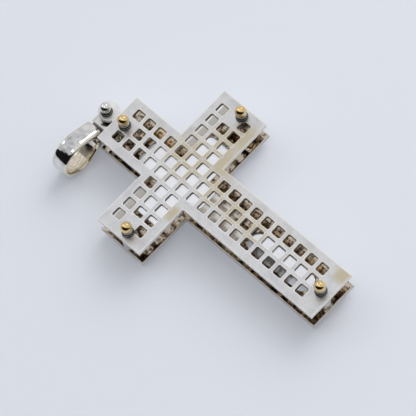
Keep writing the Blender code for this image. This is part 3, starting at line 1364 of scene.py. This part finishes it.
@dataclass
class Rivet:
    """Ball-headed rivet with the spacer and the collar on its shank, modelled once and then copied."""

    nodes: dict[str, str]
    metal: bpy.types.Material
    collar_metal: bpy.types.Material
    slot: Slot
    beads: tuple[Span, ...]
    ball_radius: float = 1.0
    shank_radius: float = 0.55
    head_radius: float = 1.2
    bore_radius: float = 0.7
    ball_steps: int = 14
    dome_steps: int = 8
    head_height: float = 1.5
    dome_share: float = 0.8
    bead_steps: int = 6
    round_sides: int = 48
    groove_radius: float = 0.82
    groove_height: float = 0.14
    spacer_edge: float = 0.08
    spacer_smooth_below: float = 30.0

    @staticmethod
    def axis_of(node: str) -> Vector:
        """Axis of a round node, at the table's height."""
        middle = Extent.of(node).middle
        return Vector((middle.x, middle.y, 0))

    def shape(self, kind: str, profile: Sequence[Span], smooth_below: float = 40.0) -> None:
        """Turn one of the pieces from its profile, and dress it.

        Args:
            kind: Key of the piece's node.
            profile: Radius and height of each ring.
            smooth_below: Edges that turn less than this many degrees are shaded smooth.
        """
        node = self.nodes[kind]
        piece = turned(f"{node}_dressed", profile, self.axis_of(node), self.round_sides)
        self.dress_piece(kind, finish(piece, smooth_below), node)

    def dress_piece(self, kind: str, piece: bpy.types.Object, node: str) -> None:
        """Give a piece, or a copy of it, the metal of its kind and the node it stands for.

        Args:
            kind: Key of the piece's node.
            piece: The piece.
            node: The node.
        """
        is_rivet = kind == "rivet"
        metal = self.metal if is_rivet else self.collar_metal
        dress(piece, metal, self.slot if is_rivet else Slot.POLISHED, Body.CROSS, node)

    def build_rivet(self) -> None:
        """Model the ball, the shank and the domed head behind."""
        ball_z = Extent.of(self.nodes["rivet"]).high.z - self.ball_radius
        sweep = (math.pi - math.asin(self.shank_radius / self.ball_radius)) / self.ball_steps
        ball = [
            (self.ball_radius * math.sin(i * sweep), ball_z + self.ball_radius * math.cos(i * sweep))
            for i in range(self.ball_steps + 1)
        ]
        dome_height = self.head_height * self.dome_share
        dome = [
            (self.head_radius * math.cos(a), dome_height * (1 - math.sin(a)))
            for a in (math.pi / 2 * i / self.dome_steps for i in range(self.dome_steps))
        ]
        shank = [(self.shank_radius, self.head_height), (self.head_radius, self.head_height)]
        self.shape("rivet", [*ball, *shank, *dome, (0.0, 0.0)])

    def build_collar(self) -> None:
        """Model the stack of beads under the ball."""
        extent = Extent.of(self.nodes["collar"])
        points = []
        level = extent.low.z
        for radius, height in self.beads:
            for i in range(self.bead_steps + 1):
                a = math.pi * (i / self.bead_steps - 0.5)
                inward, upward = 1 - math.cos(a), 1 + math.sin(a)
                points.append((radius - height / 2 * inward, level + height / 2 * upward))
            level += height
            points += [(self.groove_radius, level), (self.groove_radius, level + self.groove_height)]
            level += self.groove_height
        points = points[:-2]
        points[-1] = (points[-1][0], extent.high.z)
        bore = [(self.bore_radius, extent.low.z), (self.bore_radius, extent.high.z)]
        self.shape("collar", [*reversed(points), *bore, points[-1]])

    def build_spacer(self) -> None:
        """Model the thick tube between the plates."""
        extent = Extent.of(self.nodes["spacer"])
        radius, edge = extent.size.x / 2, self.spacer_edge
        low, high = extent.low.z, extent.high.z
        outer = [(radius - edge, high), (radius, high - edge), (radius, low + edge), (radius - edge, low)]
        bore = [(self.bore_radius, high), (self.bore_radius, low)]
        self.shape("spacer", [bore[0], *outer, bore[1], bore[0]], self.spacer_smooth_below)

    def build(self) -> None:
        """Build the pieces of the first axis."""
        self.build_rivet()
        self.build_collar()
        if "spacer" in self.nodes:
            self.build_spacer()

    def repeat(self, nodes: dict[str, str]) -> None:
        """Copy the pieces to another axis.

        Args:
            nodes: The nodes there, under the same keys.
        """
        for kind, node in nodes.items():
            first = self.nodes[kind]
            offset = (self.axis_of(node) - self.axis_of(first)) * MM
            twin = Bench.copy(bpy.data.objects[f"{first}_dressed"], f"{node}_dressed", offset)
            self.dress_piece(kind, twin, node)


@dataclass
class Bail:
    """Ring bail: a domed band whose shoulders run in to a neck and a knuckle between the plates' tabs."""

    node: str = "bail"
    ring_reach: float = 8.3
    ring_radius: float = 4.1
    wall: float = 0.8
    crown: float = 0.14
    half_width: float = 1.6
    shoulder_reach: float = 4.5
    shoulder_height: float = 2.95
    shoulder_wall: float = 0.9
    brow_reach: float = 3.0
    brow_height: float = 2.45
    neck_reach: float = 2.8
    neck_height: float = 0.95
    neck_half_width: float = 1.2
    eye_reach: float = 4.6
    knuckle_radius: float = 1.7
    knuckle_reach: float = 2.45
    knuckle_half_width: float = 1.5
    knuckle_height: float = 2.75
    bore_radius: float = 0.7
    ring_steps: int = 72
    corner_steps: int = 8
    section_points: int = 40
    section_power: float = 5.0
    shoulder_cut: float = 1.0
    brow_cut: float = 0.3
    eye_cut: float = 0.1
    inner_cut_share: float = 0.5
    inner_neck_shares: Span = (0.7, 0.4)
    neck_edge: float = 0.15
    knuckle_edge: float = 0.16
    knuckle_fall: float = 0.3
    round_sides: int = 64
    smooth_below: float = 38.0
    pivot: Vector = field(init=False)

    def __post_init__(self) -> None:
        """Read the pivot from the bail's joint."""
        joint = next(joint for joint in frame["joints"] if joint["child"] == Body.BAIL.value)
        self.pivot = Vector(joint["pos_m"]) / MM

    def at(self, reach: float, across: float, height: float) -> Vector:
        """Place of a point given by its reach from the pivot, its side and its height."""
        return self.pivot + Vector((-reach, across, height))

    def path(self, points: Sequence[Vector], cuts: Sequence[float]) -> list[Vector]:
        """Path through some points, with the corners between its ends rounded off.

        Args:
            points: The points, with both ends.
            cuts: How far from each inner point the rounding starts.

        Returns:
            The points of the path, without the first. It has the same number for each corner.
        """
        run = []
        start = points[0]
        steps = [i / self.corner_steps for i in range(1, self.corner_steps + 1)]
        for middle, end, cut in zip(points[1:], points[2:], cuts):
            before = middle + (start - middle).normalized() * cut
            after = middle + (end - middle).normalized() * cut
            run += [start.lerp(before, t) for t in steps]
            run += [before.lerp(middle, t).lerp(middle.lerp(after, t), t) for t in steps]
            start = after
        return [*run, points[-1]]

    def side(self, radius: float, shoulder: Sequence[Span], cuts: Sequence[float]) -> list[Vector]:
        """Half of the band's outline, from the ring's far point over the shoulder into the neck.

        Args:
            radius: Radius of the ring there.
            shoulder: Reach and height of the shoulder and of the points after it.
            cuts: How far each of those but the last is rounded off.

        Returns:
            Points as reach and height.
        """
        back = self.ring_reach - self.shoulder_reach
        toward = math.atan2(self.shoulder_height, -back)
        tangent = math.acos(self.ring_radius / math.hypot(back, self.shoulder_height))
        half_steps = self.ring_steps // 2
        angles = [(toward - tangent) * i / half_steps for i in range(half_steps + 1)]
        arc = [Vector((self.ring_reach + radius * math.cos(a), radius * math.sin(a))) for a in angles]
        return arc + self.path([arc[-1], *(Vector(point) for point in shoulder)], cuts)

    def section(self, outer: Vector, inner: Vector) -> list[Vector]:
        """Closed outline of the band where it is cut: domed outside, nearly flat inside, with round edges.

        Args:
            outer: Reach and height of the band's outer side there.
            inner: The same of its inner side.

        Returns:
            The outline's points.
        """
        points = []
        across = outer - inner
        power = 2 / self.section_power
        for i in range(self.section_points):
            a = 2 * math.pi * i / self.section_points
            side, out = (math.copysign(abs(part) ** power, part) for part in (math.cos(a), math.sin(a)))
            point = (outer + inner) / 2 + across * out / 2
            point -= across.normalized() * self.crown * side**2 * max(out, 0.0)
            points.append(self.at(point.x, self.half_width * side, point.y))
        return points

    def band(self) -> bpy.types.Object:
        """Ring band with its two shoulders, drawn section by section from the lower neck to the upper one.

        Returns:
            The new object.
        """
        neck, eye = self.neck_height, self.eye_reach
        shoulder = (self.shoulder_reach, self.shoulder_height)
        brow = (self.brow_reach, self.brow_height)
        outer = self.side(
            self.ring_radius,
            (shoulder, brow, (self.neck_reach, neck), (self.neck_reach, neck / 2)),
            (self.shoulder_cut, self.brow_cut, self.brow_cut),
        )
        shoulder = (self.shoulder_reach + self.wall, self.shoulder_height - self.shoulder_wall)
        inner = self.side(
            self.ring_radius - self.wall,
            (shoulder, (eye, neck), *((eye, neck * share) for share in self.inner_neck_shares)),
            (self.shoulder_cut * self.inner_cut_share, self.eye_cut, self.eye_cut),
        )
        upper = list(zip(outer, inner))
        lower = [tuple(Vector((point.x, -point.y)) for point in station) for station in upper[:0:-1]]
        return lofted("bail_dressed", [self.section(*station) for station in lower + upper])

    def build(self) -> None:
        """Model the band, the neck and the knuckle as one piece, and dress it."""
        bail = self.band()
        for reach, half_width, height in (
            (self.eye_reach - self.wall / 4, self.neck_half_width, 2 * self.neck_height),
            (self.knuckle_reach, self.knuckle_half_width, self.knuckle_height),
        ):
            arm = block((reach, 2 * half_width, height), self.at(reach / 2, 0, 0), self.neck_edge)
            Bench.combine(bail, arm, "UNION")
        profile = drum(self.knuckle_radius, self.knuckle_height / 2, self.knuckle_edge, self.knuckle_fall)
        Bench.combine(bail, turned("knuckle", profile, self.pivot, self.round_sides), "UNION")
        drill(bail, self.pivot, self.bore_radius, self.knuckle_height, self.round_sides)
        radii = (self.ring_radius - self.wall, self.ring_radius)
        material = BailFinish("polished_bail", self.pivot, self.ring_reach, *radii, self.half_width).make()
        dress(finish(bail, self.smooth_below), material, Slot.POLISHED, Body.BAIL, self.node)


@dataclass(frozen=True)
class Studio:
    """Pale table, soft light from the right and above, a room that is dark on the near side, and the camera.

    Places on the table are in millimetres, and the lamp's place and size are in metres.
    """

    heading: float = 29.61
    tilt: float = 65.63
    roll: float = -18.06
    target: Triple = (-1.93, -0.40, 6.75)
    distance: float = 564.15
    lens: float = 294.2
    sensor: float = 36.0
    clip: Span = (0.05, 20.0)
    table_colour: Colour = (0.66, 0.685, 0.745)
    table_glow: Colour = (0.135, 0.138, 0.15)
    # Painted light: the table glows in patches under the openings.
    through_glow: Colour = (0.50, 0.51, 0.53)
    table_side: float = 4.0
    table_roughness: float = 0.55
    table_specular: float = 0.25
    bright_patches: tuple[Patch, ...] = (
        Patch((-8.8, 5.2), (9.7, 11.5)), Patch((-2.0, 2.9), (2.9, 17.2)), Patch((0.1, -20.9), (2.6, -6.9)),
    )
    patch_edge: float = 0.5
    # Painted shade: a dark, mottled patch on the table under the stem.
    painted_shade_patch: Patch = Patch((-2.2, -17.5), (0.5, -8.2))
    painted_shade_colour: Colour = (0.13, 0.115, 0.10)
    painted_shade_glow: Colour = (0.03, 0.027, 0.024)
    painted_shade_floor: float = 0.45
    mottle: float = 0.9
    mottle_span: Span = (0.36, 0.60)
    near_side: Triple = (-0.85, -0.53, 0.0)
    near_rise: float = 1.28
    horizon_waves: Span = (2.6, 0.80)
    horizon: Span = (0.10, 0.26)
    ceiling: Colour = (0.77, 0.78, 0.80)
    cloud: Colour = (0.42, 0.43, 0.45)
    cloud_scale: float = 4.0
    cloud_span: Span = (0.45, 0.7)
    shade: Colour = (0.012, 0.011, 0.010)
    backdrop: Colour = (0.72, 0.75, 0.80)
    windows: tuple[Triple, ...] = ((0.70, 0.13, 0.70), (-0.20, 0.02, 0.98), (-0.12, 0.72, 0.68))
    window_glare: Colour = (3.6, 3.6, 3.5)
    window_reach: float = 8.0
    window_core: float = 0.7
    key_place: Triple = (0.55, 0.10, 0.55)
    key_side: float = 0.60
    key_power: float = 2.45
    key_colour: Colour = (1.0, 0.99, 0.97)

    def table(self) -> None:
        """Lay the table top under the part, with painted light where light comes through the piercings and a
        painted shade patch under the stem.
        """
        Bench.clear()
        bpy.ops.mesh.primitive_plane_add(size=self.table_side)
        table = added("table_top")
        graph = Graph.of_material("pale_table")
        graph.roughness(self.table_roughness)
        graph.shader.inputs["Specular IOR Level"].default_value = self.table_specular
        place = graph.place()
        through = any_of(patch.mask(graph, place, self.patch_edge) for patch in self.bright_patches)
        mottled = graph.noise(place, self.mottle, 3.0).ramp(*self.mottle_span) * (1.0 - self.painted_shade_floor)
        # Painted shade patch on the table.
        painted_shade = self.painted_shade_patch.mask(graph, place, self.patch_edge) * (self.painted_shade_floor + mottled)
        graph.colour(graph.mix(painted_shade, self.table_colour, self.painted_shade_colour))
        glow = graph.mix(painted_shade, self.table_glow, self.painted_shade_glow)
        # Painted light under the openings.
        glow = graph.mix(through, glow, self.through_glow)
        graph.put(graph.shader.inputs["Emission Color"], glow)
        graph.shader.inputs["Emission Strength"].default_value = 1.0
        table.data.materials.append(graph.owner)

    def camera(self) -> None:
        """Set the camera at the photograph's angle."""
        heading, tilt = math.radians(self.heading), math.radians(self.tilt)
        level = Vector((math.sin(heading), math.cos(heading), 0))
        forward = level * math.cos(tilt) - Axis.Z.value * math.sin(tilt)
        sideways = forward.cross(Axis.Z.value).normalized()
        right = Matrix.Rotation(math.radians(self.roll), 3, -forward) @ sideways
        up = right.cross(forward)
        data = bpy.data.cameras.new("camera")
        data.lens = self.lens
        data.sensor_width = self.sensor
        data.clip_start, data.clip_end = self.clip
        camera = bpy.data.objects.new("camera", data)
        bpy.context.scene.collection.objects.link(camera)
        turn = Matrix((right, up, -forward)).transposed().to_4x4()
        place = (Vector(self.target) - forward * self.distance) * MM
        camera.matrix_world = Matrix.Translation(place) @ turn
        bpy.context.scene.camera = camera

    def lamp(self) -> None:
        """Hang a square softbox that faces the part. It casts the shadow, and no reflection shows it."""
        data = bpy.data.lights.new("key_light", "AREA")
        data.shape = "SQUARE"
        data.size = self.key_side
        data.energy = self.key_power
        data.color = self.key_colour
        lamp = bpy.data.objects.new("key_light", data)
        bpy.context.scene.collection.objects.link(lamp)
        lamp.location = self.key_place
        lamp.rotation_euler = (-Vector(self.key_place)).to_track_quat("-Z", "Y").to_euler()
        lamp.visible_glossy = False

    def surroundings(self) -> None:
        """Bright ceiling with three windows over a dark, wavy horizon, which is higher on the near side."""
        world = bpy.data.worlds.new("studio")
        bpy.context.scene.world = world
        graph = Graph(world, "Background")
        direction = graph.node("ShaderNodeTexCoord", {}, {}, "Generated")
        wave_scale, wave_height = self.horizon_waves
        waves = (graph.noise(direction, wave_scale, 2.0) - 0.5) * wave_height
        nearness = graph.along(direction, self.near_side) * self.near_rise
        rise = graph.along(direction, Axis.Z.value) - nearness + waves
        clouds = graph.noise(direction, self.cloud_scale, 2.0).ramp(*self.cloud_span)
        overhead = graph.mix(clouds, self.ceiling, self.cloud)
        room = graph.mix(rise.ramp(*self.horizon), self.shade, overhead)
        sharp = math.cos(math.radians(self.window_reach * self.window_core))
        faint = math.cos(math.radians(self.window_reach))
        for window in self.windows:
            facing = graph.along(direction, Vector(window).normalized())
            room = graph.mix(facing.ramp(faint, sharp), room, self.window_glare)
        seen = graph.node("ShaderNodeLightPath", {}, {}, "Is Camera Ray")
        graph.put(graph.shader.inputs["Color"], graph.mix(seen, room, self.backdrop))

    def build(self) -> None:
        """Set up the table, the light and the camera."""
        self.table()
        self.camera()
        self.surroundings()
        self.lamp()
        bpy.context.scene.view_settings.view_transform = "Standard"


def rivet_nodes(name: str) -> dict[str, str]:
    """Nodes on the axis of a gold rivet, by kind."""
    return {kind: f"{kind}_{name}" for kind in ("rivet", "collar", "spacer")}


def build_rivets(face_height: float) -> None:
    """Build the four gold rivets and the white one that holds the bail.

    Args:
        face_height: Height of the front plate's outer face.
    """
    beads = ((1.12, 0.42), (1.02, 0.34), (0.9, 0.3))
    # The collar's colours are darker than the white gold, as painted shade.
    collar = ((0.68, 0.66, 0.63), (0.52, 0.50, 0.46))
    # Heights of the painted shade on the collar: where it meets the plate, and its two grooves.
    grooves = tuple(face_height + rise for rise in (0.0, 0.49, 0.97))
    yellow = PolishedFinish("polished_yellow_gold", (0.88, 0.67, 0.34), (0.78, 0.55, 0.24)).make()
    white = PolishedFinish("polished_white_gold", (0.82, 0.80, 0.77), (0.76, 0.74, 0.70)).make()
    dark = PolishedFinish("polished_collar", *collar, shaded_levels=grooves).make()
    gold = Rivet(rivet_nodes("top"), yellow, dark, Slot.YELLOW, beads)
    gold.build()
    for name in ("left", "right", "foot"):
        gold.repeat(rivet_nodes(name))
    Rivet({"rivet": "bail_rivet", "collar": "bail_collar"}, white, dark, Slot.POLISHED, beads[:2]).build()


def satin_front(face_height: float, crossing_y: float) -> SatinFinish:
    """Finish of the front plate: worn on the lattice, at two edges of the arms and at the foot.

    Args:
        face_height: Height of the plate's outer face.
        crossing_y: Place of the crossing.

    Returns:
        The finish.
    """
    worn = (
        Spot(2.5, 0.5, 7.5), Spot(8.5, -2.0, 5.0), Spot(11.0, -4.4, 4.5),
        Spot(5.5, -4.5, 4.5), Spot(0.6, -6.5, 5.0), Spot(0.2, -12.0, 4.2),
        Spot(0.2, -16.5, 3.8), Spot(4.2, -33.4, 3.2), Spot(-6.6, -4.3, 2.7),
    )
    rows, columns, lanes = FrontPlate.stem_rows, FrontPlate.arm_columns, FrontPlate.lanes
    stem = Patch.of_cells((lanes[0], rows[0]), (lanes[-1], rows[-1]))
    arms = Patch.of_cells((columns[0], lanes[0]), (columns[-1], lanes[-1]))
    pierced = (stem, arms)
    left_out = tuple(Patch.of_cells(cell, cell) for cell in sorted(FrontPlate.left_out))
    return SatinFinish("satin_front", face_height, 1.0, crossing_y, worn, pierced=pierced, left_out=left_out)


def satin_back(face_height: float, crossing_y: float) -> SatinFinish:
    """Finish of the back plate: painted light between its two openings, and calm along the arms' upper side.

    Args:
        face_height: Height of the plate's outer face.
        crossing_y: Place of the crossing.

    Returns:
        The finish.
    """
    # Painted light: bright places on the inner face between the openings.
    light = (Spot(-0.6, -6.5, 3.8), Spot(-0.8, -9.5, 3.8), Spot(-1.6, -12.5, 3.2))
    calm = tuple(Spot(x, 4.1, 2.4) for x in (-12.3, -9.6, -6.9, 6.3, 8.8, 11.4, 13.4))
    golden = (Spot(3.5, 9.3, 1.6), Spot(3.4, 6.9, 1.2), Spot(2.9, -27.5, 1.4))
    places = {"painted_light_places": light, "calm_places": calm, "gold_places": golden}
    # Dimmer painted highlight on the back plate's cut edges.
    dim_edge_highlight = (0.70, 0.66, 0.60)
    return SatinFinish("satin_back", face_height, -1.0, crossing_y, edge=dim_edge_highlight, **places)


def main() -> None:
    """Build every piece, and then the studio round them."""
    logging.basicConfig(level=logging.INFO, format="%(message)s")
    Studio().build()
    rivet_places = tuple(Rivet.axis_of(node) for node in frame["nodes"] if "collar" in node)
    front = Extent.of("front_plate")
    back = Extent.of("back_plate")
    crossing_y = front.low.y + Plate.foot_reach
    FrontPlate("front_plate", rivet_places, satin_front(front.high.z, crossing_y)).build()
    BackPlate("back_plate", rivet_places, satin_back(back.low.z, crossing_y)).build()
    build_rivets(front.high.z)
    Bail().build()


if __name__ == "__main__":
    main()
